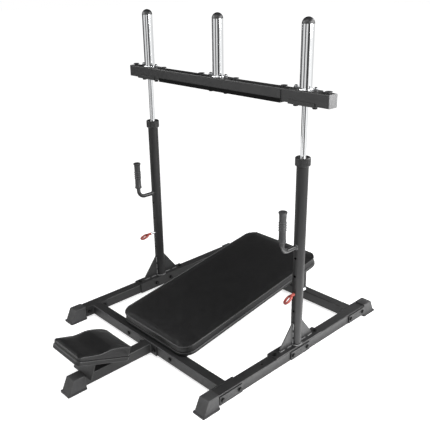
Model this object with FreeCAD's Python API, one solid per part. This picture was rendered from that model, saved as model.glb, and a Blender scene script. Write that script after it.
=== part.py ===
# Vertical leg press: low base frame, sloping back pad, sliding foot carriage, two safety pins.
# Millimetres. +Z up, the head pad points to -Y, the origin is on the floor under the middle of the box.
import FreeCAD, Part
import math
import os

V = FreeCAD.Vector

# Driving dimensions
TRACK_HALF = 494.0          # centre of each side rail, upright and guide rod
BASE_HALF = 605.0           # uprights' plane to the tip of a side boot
HEAD_REACH = 919.0          # uprights' plane to the tip of the head boot
TUBE = 50.0                 # square tube of the whole base
TUBE_WALL = 2.5
TUBE_CORNER = 4.0
SOLE = 12.0                 # thickness of a boot under the tube
PLATE = 5.5                 # flange, saddle and end plates
BEAM_UNDERSIDE = 1166.0
BEAM_HEIGHT = 54.0
BEAM_DEPTH = 50.0
PEG_DIAMETER = 50.0
PEG_LENGTH = 246.0          # base plate to the foot of the dome
UPRIGHT_DIAMETER = 50.8
UPRIGHT_WALL = 2.5
COLLAR_TOP = 950.0
ROD_DIAMETER = 25.0
PIN_DIAMETER = 12.0
PIN_HEIGHT = 328.0
HOLE_PITCH = 87.0
HANDLE_HEIGHT = 556.0
HANDLE_OFFSET = 116.0
GRIP_LENGTH = 136.0
PAD_SLOPE = 9.026           # degrees, rising to the rear
PAD_HALF_WIDTH = 245.0
PAD_RISE = 51.5             # rail top to the pad's seam at its front edge
HEAD_SLOPE = 20.3           # degrees, rising to the front
HEAD_LENGTH = 272.0
HEAD_HALF_WIDTH = 105.0
HEAD_RISE = 47.5            # rail top to the top of the head board at its rear edge
HEAD_SETBACK = 279.0        # tip of the head boot to the head board's rear edge

# Clearances
SLIP = 0.3                  # curved face to curved face, bolt to hole, glide to tube
RUNNING = 0.08              # radial, a sliding shaft in its hole
BOOT_GAP = 1.0              # boot to the flange beside it

# Fasteners
M10_R = 5.0
M10_FLATS = 17.0
M10_HEAD = 6.4
M10_NUT = 8.4
M12_R = 6.0
M12_FLATS = 18.0
M12_HEAD = 7.5
THREAD_END = 11.0           # bolt past the face that its nut sits on
WASHER = 3.0
WASHER_R = 12.0

# Base frame
FLANGE_BOLT = 50.0
FLANGE_EDGE = 15.0          # bolt centre to the end of a flange
FLANGE_HALF = FLANGE_BOLT + FLANGE_EDGE
BOOT_LENGTH = 93.0
BOOT_POCKET = 50.0
BACKING = 6.0
SADDLE_HALF = 160.0
SADDLE_EDGE = 17.0
SADDLE_BOLT = SADDLE_HALF - SADDLE_EDGE
CROSS_OFFSET = BASE_HALF - BOOT_LENGTH - BOOT_GAP - FLANGE_HALF
PAD_RAIL_X = 155.0

# Carriage
PEG_PLATE = 3.0
PEG_WALL = 3.0
PEG_WELD = 5.0
NUT_ROOM = 18.0             # foot of a peg's weld to the middle of its nut
PLATE_EDGE = 18.5
BRACKET = 3.0
MAT = 2.0
CHANNEL_SETBACK = 106.0     # centre of an outer peg to the end of the foot channel
BUMPER_OFFSET = 110.0       # centre of a peg to each bumper beside it
BUMPER_EDGE = 20.0          # outer bumper to the end of the beam
LEFT_PIN_OUT = 27.0         # how far the left pin stands out in the pose shown

# Derived positions
UPRIGHT_Y = (HEAD_REACH - BASE_HALF) / 2
RAIL_TOP = SOLE + TUBE
RAIL_MID = SOLE + TUBE / 2
RAIL_HALF = BASE_HALF - BOOT_LENGTH + BOOT_POCKET
HEAD_RAIL_END = HEAD_REACH - BOOT_LENGTH + BOOT_POCKET
TUBE_R = UPRIGHT_DIAMETER / 2
BORE_R = TUBE_R - UPRIGHT_WALL
ROD_R = ROD_DIAMETER / 2
PEG_R = PEG_DIAMETER / 2
PIN_R = PIN_DIAMETER / 2
BEAM_TOP = BEAM_UNDERSIDE + BEAM_HEIGHT
BEAM_HALF = TRACK_HALF + BUMPER_OFFSET + BUMPER_EDGE
PEG_BOLT = PEG_R + PEG_WELD + NUT_ROOM
BRACKET_HALF = PEG_BOLT + PLATE_EDGE
CHANNEL_HALF = TRACK_HALF - CHANNEL_SETBACK
PEG_X = (-TRACK_HALF, 0.0, TRACK_HALF)
INNER_FACE = TRACK_HALF - TUBE / 2
OUTER_FACE = TRACK_HALF + TUBE / 2
TALL = 600.0                # above every piece of the base, for trimming

os.makedirs("parts", exist_ok=True)


def export(shape, node):
    shape.exportStep("parts/%s.step" % node)


def at(x, s, z):
    """Point from offsets measured from the uprights' plane."""
    return V(x, UPRIGHT_Y + s, z)


def box(x0, x1, s0, s1, z0, z1):
    return Part.makeBox(x1 - x0, s1 - s0, z1 - z0, at(x0, s0, z0))


def rod(x, s, z, radius, length, axis):
    return Part.makeCylinder(radius, length, at(x, s, z), V(*axis))


def fuse(shapes):
    result = shapes[0].multiFuse(shapes[1:])
    return result.removeSplitter()


def cut(shape, tools):
    return shape.cut(tools)


def many(shapes):
    return Part.makeCompound(shapes)


def mirrored(shape):
    return shape.mirror(V(0, 0, 0), V(1, 0, 0))


def rounded_wire(a0, a1, b0, b1, radius, place):
    """Rounded rectangle; place(a, b) turns two plane coordinates into a point."""
    k = radius * (1 - math.sqrt(0.5))
    points = [(a0 + radius, b0), (a1 - radius, b0), (a1 - k, b0 + k), (a1, b0 + radius),
              (a1, b1 - radius), (a1 - k, b1 - k), (a1 - radius, b1), (a0 + radius, b1),
              (a0 + k, b1 - k), (a0, b1 - radius), (a0, b0 + radius), (a0 + k, b0 + k)]
    p = [place(a, b) for a, b in points]
    edges = [Part.makeLine(p[0], p[1]), Part.Arc(p[1], p[2], p[3]).toShape(),
             Part.makeLine(p[3], p[4]), Part.Arc(p[4], p[5], p[6]).toShape(),
             Part.makeLine(p[6], p[7]), Part.Arc(p[7], p[8], p[9]).toShape(),
             Part.makeLine(p[9], p[10]), Part.Arc(p[10], p[11], p[0]).toShape()]
    return Part.Wire(edges)


def prism(wire, vector):
    return Part.Face(wire).extrude(vector)


def polygon(points):
    return Part.Face(Part.makePolygon(points + [points[0]]))


def tube_shape(a0, a1, b0, b1, place, length):
    """Rectangular tube: its outline in plane coordinates, drawn out along length."""
    wall = TUBE_WALL
    outer = rounded_wire(a0, a1, b0, b1, TUBE_CORNER, place)
    inner = rounded_wire(a0 + wall, a1 - wall, b0 + wall, b1 - wall, TUBE_CORNER - wall, place)
    return cut(prism(outer, length), [prism(inner, length)])


def square_tube_y(x, s0, s1, z0):
    half = TUBE / 2
    return tube_shape(x - half, x + half, z0, z0 + TUBE, lambda a, b: at(a, s0, b), V(0, s1 - s0, 0))


def square_tube_x(x0, x1, s, z0, depth=TUBE, height=TUBE):
    return tube_shape(s - depth / 2, s + depth / 2, z0, z0 + height, lambda a, b: at(x0, a, b),
                      V(x1 - x0, 0, 0))


def square_tube_z(x, s, z0, z1):
    half = TUBE / 2
    return tube_shape(x - half, x + half, s - half, s + half, lambda a, b: at(a, b, z0), V(0, 0, z1 - z0))


def hexagon(x, s, z, across_flats, height, axis):
    """Hexagonal prism that starts at the point and grows along the axis."""
    radius = across_flats / math.sqrt(3)
    points = []
    for i in range(6):
        angle = math.radians(60 * i + 30)
        points.append(V(radius * math.cos(angle), radius * math.sin(angle), 0))
    solid = polygon(points).extrude(V(0, 0, height))
    solid.Placement = FreeCAD.Placement(at(x, s, z), FreeCAD.Rotation(V(0, 0, 1), V(*axis)))
    return solid


def bolt(x, s, z, radius, length, head, flats, axis):
    """Hex bolt: the point is under the head, the shank runs along the axis."""
    back = (-axis[0], -axis[1], -axis[2])
    shank = rod(x, s, z, radius, length, axis)
    return fuse([shank, hexagon(x, s, z, flats, head, back)])


def nut(x, s, z, radius, height, flats, axis):
    body = hexagon(x, s, z, flats, height, axis)
    return cut(body, [rod(x, s, z, radius + SLIP, height, axis)])


# Side rails
def side_rail():
    tube = square_tube_y(TRACK_HALF, -RAIL_HALF, RAIL_HALF, SOLE)
    tools = []
    for centre in (-CROSS_OFFSET, 0.0, CROSS_OFFSET):
        for side in (-FLANGE_BOLT, FLANGE_BOLT):
            tools.append(rod(INNER_FACE - 1, centre + side, RAIL_MID, M10_R + SLIP, TUBE + 2, (1, 0, 0)))
    for s in (-SADDLE_BOLT, SADDLE_BOLT):
        tools.append(rod(TRACK_HALF, s, RAIL_TOP - TUBE / 4, M10_R + SLIP, TUBE / 2, (0, 0, 1)))
    return cut(tube, tools)


DRAIN_R = 4.5
DRAIN_FROM_SADDLE = 70.0

right_rail = side_rail()
drain_hole = rod(TRACK_HALF, -SADDLE_HALF - DRAIN_FROM_SADDLE, RAIL_TOP - TUBE / 4, DRAIN_R, TUBE / 2,
                 (0, 0, 1))
export(cut(right_rail, [drain_hole]), "right_side_rail")
export(mirrored(right_rail), "left_side_rail")


# Rubber boots on the five tube ends
BOOT_WALL = 3.0             # rubber beside the tube, at the top
BOOT_FLARE = 1.5            # how much wider each side is at the foot
BOOT_LIP = 4.0              # step out to the sole's rim
BOOT_RIM = 7.0              # height of the rim
BOOT_COVER = 4.8            # rubber over the tube
BOOT_RAKE = 26.0            # lean of the tip, foot to top
BOOT_EDGE = 2.0             # softened top edge
BOOT_CORNER = 3.0


def boot(x, tip, inward):
    """Boot with its tip at station tip; inward is +1 or -1, the way into the tube."""
    top_half = TUBE / 2 + BOOT_WALL
    foot_half = top_half + BOOT_FLARE
    rim_half = foot_half + BOOT_LIP
    top = RAIL_TOP + BOOT_COVER
    toe = 1.6 * BOOT_LIP

    def ring(half, depth, z, radius):
        ends = sorted((tip + inward * depth, tip + inward * BOOT_LENGTH))
        return rounded_wire(x - half, x + half, ends[0], ends[1], radius, lambda a, b: at(a, b, z))

    rim = prism(ring(rim_half, 0.0, 0.0, BOOT_CORNER + 1), V(0, 0, BOOT_RIM))
    body = Part.makeLoft([ring(foot_half, toe, BOOT_RIM, BOOT_CORNER),
                          ring(top_half, toe + BOOT_RAKE, top - BOOT_EDGE, BOOT_CORNER),
                          ring(top_half - BOOT_EDGE, toe + BOOT_RAKE + BOOT_EDGE, top, BOOT_CORNER)],
                         True, True)
    ends = sorted((tip + inward * (BOOT_LENGTH - BOOT_POCKET), tip + inward * (BOOT_LENGTH + 1)))
    half = TUBE / 2 + SLIP
    pocket = box(x - half, x + half, ends[0], ends[1], SOLE, RAIL_TOP + SLIP)
    return cut(fuse([rim, body]), [pocket])


export(boot(TRACK_HALF, -BASE_HALF, 1), "front_right_boot")
export(boot(-TRACK_HALF, -BASE_HALF, 1), "front_left_boot")
export(boot(TRACK_HALF, BASE_HALF, -1), "rear_right_boot")
export(boot(-TRACK_HALF, BASE_HALF, -1), "rear_left_boot")
export(boot(0.0, -HEAD_REACH, 1), "head_boot")


# Crossmembers with their end flanges
def crossmember(s, bolt_xs):
    tube_end = INNER_FACE - PLATE
    pieces = [square_tube_x(-tube_end, tube_end, s, SOLE)]
    for x0, x1 in ((tube_end, INNER_FACE), (-INNER_FACE, -tube_end)):
        pieces.append(box(x0, x1, s - FLANGE_HALF, s + FLANGE_HALF, SOLE, RAIL_TOP))
    tools = []
    for side in (-FLANGE_BOLT, FLANGE_BOLT):
        tools.append(rod(-INNER_FACE, s + side, RAIL_MID, M10_R + SLIP, 2 * INNER_FACE, (1, 0, 0)))
    for x in bolt_xs:
        tools.append(rod(x, s - TUBE, RAIL_MID, M10_R + SLIP, 2 * TUBE, (0, 1, 0)))
    return cut(fuse(pieces), tools)


CROSS_BOLT_X = (-PAD_RAIL_X, -FLANGE_BOLT, FLANGE_BOLT, PAD_RAIL_X)
export(crossmember(-CROSS_OFFSET, CROSS_BOLT_X), "front_crossmember")
export(crossmember(CROSS_OFFSET, ()), "rear_crossmember")

# Head rail, bolted to the front face of the front crossmember
cross_front = -CROSS_OFFSET - TUBE / 2
head_tube = square_tube_y(0.0, -HEAD_RAIL_END, cross_front - PLATE, SOLE)
head_flange = box(-FLANGE_HALF, FLANGE_HALF, cross_front - PLATE, cross_front, SOLE, RAIL_TOP)
flange_holes = [rod(x, cross_front - 2 * PLATE, RAIL_MID, M10_R + SLIP, 3 * PLATE, (0, 1, 0))
                for x in (-FLANGE_BOLT, FLANGE_BOLT)]
export(cut(fuse([head_tube, head_flange]), flange_holes), "head_rail")

# Pad frame: a sloping rail and a rear post under each side of the back pad
PAD_SIDE = 32.0             # seam down to the board
PAD_BOARD = 15.0
PAD_CROWN = 8.5             # seam up to the top of the cushion
PAD_FRONT_LAP = 11.0        # pad past the middle of the front crossmember
PAD_REAR_LAP = 42.8         # pad past the middle of the rear crossmember, along the slope
PAD_BOLT_FRONT = 150.0
PAD_BOLT_REAR = 197.0
PAD_BOLT_R = 4.0
PAD_CORNER = 65.0

slope = math.radians(PAD_SLOPE)
pad_normal = V(0, -math.sin(slope), math.cos(slope))
PAD_FRONT = -CROSS_OFFSET - PAD_FRONT_LAP
PAD_FRONT_Z = RAIL_TOP + PAD_RISE
PAD_DEPTH = PAD_SIDE + PAD_BOARD
PAD_LENGTH = PAD_FRONT_LAP + 2 * CROSS_OFFSET / math.cos(slope) + PAD_REAR_LAP
PAD_BOLT_V = (PAD_BOLT_FRONT, PAD_LENGTH - PAD_BOLT_REAR)


def on_pad(x, v, h):
    """Point on the pad's own axes: v up the slope, h square to the seam plane."""
    s = PAD_FRONT + v * math.cos(slope) - h * math.sin(slope)
    z = PAD_FRONT_Z + v * math.sin(slope) + h * math.cos(slope)
    return at(x, s, z)


def pad_block(x0, x1, v0, v1, h0, h1):
    corners = [on_pad(x0, v0, h0), on_pad(x0, v1, h0), on_pad(x0, v1, h1), on_pad(x0, v0, h1)]
    return polygon(corners).extrude(V(x1 - x0, 0, 0))


def pad_rail(x):
    """Sloping rail between the crossmembers, with the post that lifts its rear end."""
    half = TUBE / 2
    start = -CROSS_OFFSET + half
    end = CROSS_OFFSET + half
    low = -PAD_DEPTH - TUBE
    past = PAD_LENGTH + TUBE
    outer = pad_block(x - half, x + half, -TUBE, past, low, -PAD_DEPTH)
    inner = pad_block(x - half + TUBE_WALL, x + half - TUBE_WALL, -TUBE, past,
                      low + TUBE_WALL, -PAD_DEPTH - TUBE_WALL)
    span = box(x - half, x + half, start, end, 0, TALL)
    room = box(x - half, x + half, start + PLATE, end - TUBE_WALL, 0, TALL)
    sloping = outer.common(span).cut(inner.common(room))
    above = pad_block(x - TUBE, x + TUBE, -TUBE, past, low, TALL)
    post = square_tube_z(x, CROSS_OFFSET, RAIL_TOP, TALL).cut(above)
    toe = box(x - half, x + half, start, start + PLATE, SOLE, RAIL_MID)
    body = fuse([sloping, post, toe])
    tools = [rod(x, start - 1, RAIL_MID, M10_R + SLIP, PLATE + 2, (0, 1, 0))]
    for v in PAD_BOLT_V:
        base = on_pad(x, v, low - 1)
        tools.append(Part.makeCylinder(PAD_BOLT_R + SLIP, TUBE + 2, base, pad_normal))
    return cut(body, tools)


export(pad_rail(PAD_RAIL_X), "right_pad_rail")
export(pad_rail(-PAD_RAIL_X), "left_pad_rail")


# Saddles that carry the uprights
GUSSET_SHEET = 6.0
GUSSET_HEIGHT = 116.5
GUSSET_TOE = 14.0           # height of the gusset's blunt end
GUSSET_CREST = 4.3          # flat at the top, beside the tube
GUSSET_TO_BOLT = 33.0       # gusset's end to the saddle bolt
UPRIGHT_WELD = 4.5


def saddle():
    deck = RAIL_TOP + PLATE
    seat = TUBE_R + SLIP
    reach = SADDLE_BOLT - GUSSET_TO_BOLT
    top = box(INNER_FACE - PLATE, OUTER_FACE, -SADDLE_HALF, SADDLE_HALF, RAIL_TOP, deck)
    flange = box(INNER_FACE - PLATE, INNER_FACE, -SADDLE_HALF, SADDLE_HALF, SOLE, deck)
    pieces = [top, flange]
    near = TRACK_HALF - GUSSET_SHEET / 2
    for way in (-1, 1):
        profile = [at(near, way * seat, deck), at(near, way * reach, deck),
                   at(near, way * reach, deck + GUSSET_TOE),
                   at(near, way * (seat + GUSSET_CREST), deck + GUSSET_HEIGHT),
                   at(near, way * seat, deck + GUSSET_HEIGHT)]
        pieces.append(polygon(profile).extrude(V(GUSSET_SHEET, 0, 0)))
    pieces.append(Part.makeCone(TUBE_R + UPRIGHT_WELD, seat + 0.2, UPRIGHT_WELD, at(TRACK_HALF, 0, deck)))
    tools = [rod(TRACK_HALF, 0, deck, seat, GUSSET_HEIGHT + 1, (0, 0, 1))]
    for side in (-FLANGE_BOLT, FLANGE_BOLT):
        tools.append(rod(INNER_FACE - PLATE - 1, side, RAIL_MID, M10_R + SLIP, PLATE + 2, (1, 0, 0)))
    for s in (-SADDLE_BOLT, SADDLE_BOLT):
        tools.append(rod(TRACK_HALF, s, RAIL_TOP - 1, M10_R + SLIP, PLATE + 2, (0, 0, 1)))
    return cut(fuse(pieces), tools)


right_saddle = saddle()
export(right_saddle, "right_saddle")
export(mirrored(right_saddle), "left_saddle")

# Uprights, with five height holes through both walls
COLLAR_CROWN = 6.0          # collar over the end of the tube
UPRIGHT_BOTTOM = RAIL_TOP + PLATE
UPRIGHT_TOP = COLLAR_TOP - COLLAR_CROWN


def upright():
    length = UPRIGHT_TOP - UPRIGHT_BOTTOM
    tube = rod(TRACK_HALF, 0, UPRIGHT_BOTTOM, TUBE_R, length, (0, 0, 1))
    tools = [rod(TRACK_HALF, 0, UPRIGHT_BOTTOM, BORE_R, length, (0, 0, 1))]
    for step in (-2, -1, 0, 1, 2):
        tools.append(rod(TRACK_HALF, -TUBE_R, PIN_HEIGHT + step * HOLE_PITCH, PIN_R + RUNNING, 2 * TUBE_R,
                         (0, 1, 0)))
    return cut(tube, tools)


right_upright = upright()
export(right_upright, "right_upright")
export(mirrored(right_upright), "left_upright")


# Collars: ribbed bushing on top of each upright
COLLAR_HEIGHT = 36.0
COLLAR_WALL = 7.1
COLLAR_CHAMFER = 3.0
COLLAR_GROOVES = 8
GROOVE_R = 3.0
BUSHING_TAIL = 4.0          # guide bush past the collar, inside the tube


def collar():
    low = COLLAR_TOP - COLLAR_HEIGHT
    outer = TUBE_R + COLLAR_WALL
    lead = Part.makeCone(outer - COLLAR_CHAMFER, outer, COLLAR_CHAMFER, at(TRACK_HALF, 0, low))
    body = rod(TRACK_HALF, 0, low + COLLAR_CHAMFER, outer, COLLAR_HEIGHT - 2 * COLLAR_CHAMFER, (0, 0, 1))
    crown = Part.makeCone(outer, outer - COLLAR_CHAMFER, COLLAR_CHAMFER,
                          at(TRACK_HALF, 0, COLLAR_TOP - COLLAR_CHAMFER))
    tools = [rod(TRACK_HALF, 0, low - 1, TUBE_R + SLIP, UPRIGHT_TOP - low + 1, (0, 0, 1))]
    groove_ring = outer + GROOVE_R / 3
    for i in range(COLLAR_GROOVES):
        angle = 2 * math.pi * (i + 0.5) / COLLAR_GROOVES
        tools.append(rod(TRACK_HALF + groove_ring * math.cos(angle), groove_ring * math.sin(angle), low - 1,
                         GROOVE_R, COLLAR_HEIGHT - COLLAR_CHAMFER, (0, 0, 1)))
    shell = cut(fuse([lead, body, crown]), tools)
    tail = low - BUSHING_TAIL
    plug = rod(TRACK_HALF, 0, tail, BORE_R - SLIP, UPRIGHT_TOP - tail, (0, 0, 1))
    shaft = rod(TRACK_HALF, 0, tail - 1, ROD_R + RUNNING, COLLAR_TOP - tail + 2, (0, 0, 1))
    return cut(fuse([shell, plug]), [shaft])


right_collar = collar()
export(right_collar, "right_collar")
export(mirrored(right_collar), "left_collar")


# Handles and their grips
HANDLE_R = 10.0
HANDLE_WALL = 2.0
HANDLE_BEND = 38.0
HANDLE_STUB = 14.0          # bare tube between the bend and the grip
HANDLE_WELD = 4.0
GRIP_WALL = 6.0
GRIP_END = 5.0              # closed end over the tube
GRIP_RIB = 1.0
GRIP_FLANGE = 2.7           # flat top's step out
GRIP_TOP = HANDLE_HEIGHT + HANDLE_BEND + HANDLE_STUB + GRIP_LENGTH


def handle():
    bend = HANDLE_BEND
    turn_s = -HANDLE_OFFSET + bend
    z = HANDLE_HEIGHT

    def run(r):
        flat = rod(TRACK_HALF, turn_s, z, r, -turn_s, (0, 1, 0))
        up = rod(TRACK_HALF, -HANDLE_OFFSET, z + bend, r, GRIP_TOP - GRIP_END - z - bend, (0, 0, 1))
        elbow = Part.makeTorus(bend, r, at(TRACK_HALF, turn_s, z + bend), V(1, 0, 0))
        corner = box(TRACK_HALF - bend, TRACK_HALF + bend, turn_s - 2 * bend, turn_s, z - bend, z + bend)
        return fuse([flat, elbow.common(corner), up])

    weld = Part.makeCone(HANDLE_R, HANDLE_R + HANDLE_WELD, HANDLE_WELD + 1,
                         at(TRACK_HALF, -TUBE_R - HANDLE_WELD, z), V(0, 1, 0))
    solid = cut(fuse([run(HANDLE_R), weld]), [run(HANDLE_R - HANDLE_WALL)])
    return cut(solid, [rod(TRACK_HALF, 0, z - bend, TUBE_R + SLIP, 2 * bend, (0, 0, 1))])


def grip():
    """Moulded grip: thick foot ring, three finger rings, flat flanged top."""
    low = GRIP_TOP - GRIP_LENGTH
    top = GRIP_TOP
    bore = HANDLE_R + SLIP
    skin = HANDLE_R + GRIP_WALL
    rib = skin + GRIP_RIB
    brim = skin + GRIP_FLANGE
    middle = low + GRIP_LENGTH / 2
    outline = [(bore, low), (rib, low), (rib, low + 8), (skin, low + 10)]
    for ring in (-14.0, -3.0, 8.0):
        z = middle + ring
        outline += [(skin, z - 4), (rib, z - 2), (rib, z + 2), (skin, z + 4)]
    outline += [(skin, top - 12), (brim, top - 7), (brim, top - 2), (brim - 2, top), (0, top),
                (0, top - GRIP_END + SLIP), (bore, top - GRIP_END + SLIP)]
    points = [at(TRACK_HALF + r, -HANDLE_OFFSET, z) for r, z in outline]
    return polygon(points).revolve(at(TRACK_HALF, -HANDLE_OFFSET, 0), V(0, 0, 1), 360)


right_handle = handle()
right_grip = grip()
export(right_handle, "right_handle")
export(mirrored(right_handle), "left_handle")
export(right_grip, "right_grip")
export(mirrored(right_grip), "left_grip")


# Backing plates, bolts and nuts of the rails
BACKING_MARGIN = 5.0        # rail's edge to the plate's edge


def backing_plate(s):
    half = TUBE / 2 - BACKING_MARGIN
    plate = box(OUTER_FACE, OUTER_FACE + BACKING, s - FLANGE_HALF, s + FLANGE_HALF, RAIL_MID - half,
                RAIL_MID + half)
    holes = [rod(OUTER_FACE - 1, s + side, RAIL_MID, M10_R + SLIP, BACKING + 2, (1, 0, 0))
             for side in (-FLANGE_BOLT, FLANGE_BOLT)]
    return cut(plate, holes)


def m10_bolt(x, s, z, length, axis):
    return bolt(x, s, z, M10_R, length, M10_HEAD, M10_FLATS, axis)


def m10_nut(x, s, z, axis):
    return nut(x, s, z, M10_R, M10_NUT, M10_FLATS, axis)


plates = []
rail_bolts = []
rail_nuts = []
head_x = OUTER_FACE + BACKING
nut_x = INNER_FACE - PLATE
for centre in (-CROSS_OFFSET, 0.0, CROSS_OFFSET):
    plate = backing_plate(centre)
    plates += [plate, mirrored(plate)]
    for side in (-FLANGE_BOLT, FLANGE_BOLT):
        screw = m10_bolt(head_x, centre + side, RAIL_MID, head_x - nut_x + THREAD_END, (-1, 0, 0))
        lock = m10_nut(nut_x, centre + side, RAIL_MID, (-1, 0, 0))
        rail_bolts += [screw, mirrored(screw)]
        rail_nuts += [lock, mirrored(lock)]
export(many(plates), "backing_plates")
export(many(rail_bolts), "rail_bolts")
export(many(rail_nuts), "rail_nuts")

saddle_bolts = []
for s in (-SADDLE_BOLT, SADDLE_BOLT):
    screw = m10_bolt(TRACK_HALF, s, RAIL_TOP + PLATE, PLATE + TUBE_WALL + THREAD_END, (0, 0, -1))
    saddle_bolts += [screw, mirrored(screw)]
export(many(saddle_bolts), "saddle_bolts")

cross_bolts = []
cross_nuts = []
cross_rear = -CROSS_OFFSET + TUBE / 2
for x in CROSS_BOLT_X:
    through_head_flange = abs(x) == FLANGE_BOLT
    head_s = cross_front - PLATE if through_head_flange else cross_front
    nut_s = cross_rear if through_head_flange else cross_rear + PLATE
    cross_bolts.append(m10_bolt(x, head_s, RAIL_MID, nut_s - head_s + THREAD_END, (0, 1, 0)))
    cross_nuts.append(m10_nut(x, nut_s, RAIL_MID, (0, 1, 0)))
export(many(cross_bolts), "cross_bolts")
export(many(cross_nuts), "cross_nuts")


# Back pad: crowned cushion with a sewn edge, on its board
def pad_ring(inset, h):
    return rounded_wire(-PAD_HALF_WIDTH + inset, PAD_HALF_WIDTH - inset, inset, PAD_LENGTH - inset,
                        PAD_CORNER - 0.9 * inset, lambda a, b: on_pad(a, b, h))


def pad_bolt_tools(radius, h0, h1):
    tools = []
    for x in (-PAD_RAIL_X, PAD_RAIL_X):
        for v in PAD_BOLT_V:
            tools.append(Part.makeCylinder(radius, h1 - h0, on_pad(x, v, h0), pad_normal))
    return tools


BOARD_EDGE = 3.0            # rounding of a board's rim
PAD_BOLT_BITE = 12.0        # bolt into the board
PAD_BOLT_HEAD = 4.5
board_low = -PAD_DEPTH
board_high = -PAD_SIDE
board = Part.makeLoft([pad_ring(3.0, board_low), pad_ring(1.0, board_low + BOARD_EDGE),
                       pad_ring(1.0, board_high - BOARD_EDGE), pad_ring(4.0, board_high)], True, True)
board = cut(board, pad_bolt_tools(PAD_BOLT_R + SLIP, board_low - 1, board_low + PAD_BOLT_BITE))
export(board, "back_pad_board")
cushion = Part.makeLoft([pad_ring(7.0, board_high + SLIP), pad_ring(3.0, board_high + 8),
                         pad_ring(0.5, -6), pad_ring(0.0, -1), pad_ring(4.0, 2.5),
                         pad_ring(22.0, PAD_CROWN - 2.5), pad_ring(50.0, PAD_CROWN)], True, True)
export(cushion, "back_pad_cushion")

pad_bolts = []
for x in (-PAD_RAIL_X, PAD_RAIL_X):
    for v in PAD_BOLT_V:
        start = on_pad(x, v, board_low - TUBE)
        shank = Part.makeCylinder(PAD_BOLT_R, TUBE + PAD_BOLT_BITE - 2, start, pad_normal)
        under = start - pad_normal * PAD_BOLT_HEAD
        head = Part.makeCylinder(2 * PAD_BOLT_R, PAD_BOLT_HEAD, under, pad_normal)
        pad_bolts.append(fuse([shank, head]))
export(many(pad_bolts), "pad_bolts")

# Head pad: contoured cushion and board on a bent bracket
HEAD_BOARD = 19.0
HEAD_CORNER = 20.0
HEAD_NAPE = 46.0            # thickest place along its sides, under the neck
HEAD_FRONT = 18.0           # thickness near the front edge
HEAD_SCREW_R = 3.0
HEAD_SCREW_BITE = 12.0
HEAD_SCREW_CAP = 3.5
HEAD_SCREW_X = 42.0
HEAD_SCREW_V = (62.0, 118.0)
HEAD_SHEET = 5.0            # bent bracket
HEAD_BRACKET_HALF = 69.0
HEAD_BRACKET_V = (30.0, 158.0)

head_slope = math.radians(HEAD_SLOPE)
head_normal = V(0, math.sin(head_slope), math.cos(head_slope))
HEAD_REAR = HEAD_SETBACK - HEAD_REACH
HEAD_REAR_Z = RAIL_TOP + HEAD_RISE
HEAD_SCREWS = [(x, v) for x in (-HEAD_SCREW_X, HEAD_SCREW_X) for v in HEAD_SCREW_V]


def on_head(x, v, h):
    """Point on the head pad's own axes: v up the slope to the front, h square to the board."""
    s = HEAD_REAR - v * math.cos(head_slope) + h * math.sin(head_slope)
    z = HEAD_REAR_Z + v * math.sin(head_slope) + h * math.cos(head_slope)
    return at(x, s, z)


def head_ring(inset, h):
    return rounded_wire(-HEAD_HALF_WIDTH + inset, HEAD_HALF_WIDTH - inset, inset, HEAD_LENGTH - inset,
                        HEAD_CORNER - 0.9 * inset, lambda a, b: on_head(a, b, h))


def head_section(x, drop, inset):
    """Side profile of the head cushion at one x: neck roll at the rear, dished to the front."""
    run = HEAD_LENGTH - 2 * inset

    def p(share, h):
        return on_head(x, inset + share * run, h - drop)

    dip = HEAD_FRONT + 2.0
    hollow = (HEAD_NAPE + HEAD_FRONT) / 2
    rear_foot = on_head(x, inset, SLIP)
    front_foot = on_head(x, HEAD_LENGTH - inset, SLIP)
    roll_start = p(0.0, HEAD_NAPE - 4.0)
    roll_end = p(0.39, HEAD_NAPE - 1.0)
    dish_start = p(0.54, hollow - 1.0)
    dish_end = p(0.78, dip + 1.0)
    tip = p(1.0, HEAD_FRONT - 3.5)
    return Part.Wire([Part.Arc(roll_start, p(0.18, HEAD_NAPE + 1.0), roll_end).toShape(),
                      Part.makeLine(roll_end, dish_start),
                      Part.Arc(dish_start, p(0.645, hollow - 8.0), dish_end).toShape(),
                      Part.Arc(dish_end, p(0.9, HEAD_FRONT + 1.0), tip).toShape(),
                      Part.makeLine(tip, front_foot), Part.makeLine(front_foot, rear_foot),
                      Part.makeLine(rear_foot, roll_start)])


head_board = Part.makeLoft([head_ring(2.5, -HEAD_BOARD), head_ring(0.5, BOARD_EDGE - HEAD_BOARD),
                            head_ring(0.5, -BOARD_EDGE), head_ring(3.0, 0)], True, True)
screw_holes = [Part.makeCylinder(HEAD_SCREW_R + SLIP, HEAD_SCREW_BITE + 1, on_head(x, v, -HEAD_BOARD - 1),
                                 head_normal) for x, v in HEAD_SCREWS]
export(cut(head_board, screw_holes), "head_pad_board")

sections = []
for share, drop, inset in ((-1.0, 6.0, 2.0), (-0.93, 0.5, 0.0), (-0.47, -2.5, 0.0), (0.0, -3.5, 0.0),
                           (0.47, -2.5, 0.0), (0.93, 0.5, 0.0), (1.0, 6.0, 2.0)):
    sections.append(head_section(share * HEAD_HALF_WIDTH, drop, inset))
head_cushion = Part.makeLoft(sections, True, False)
head_plan = prism(head_ring(0.0, -1), head_normal * 2 * HEAD_NAPE)
export(head_cushion.common(head_plan), "head_pad_cushion")


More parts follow.
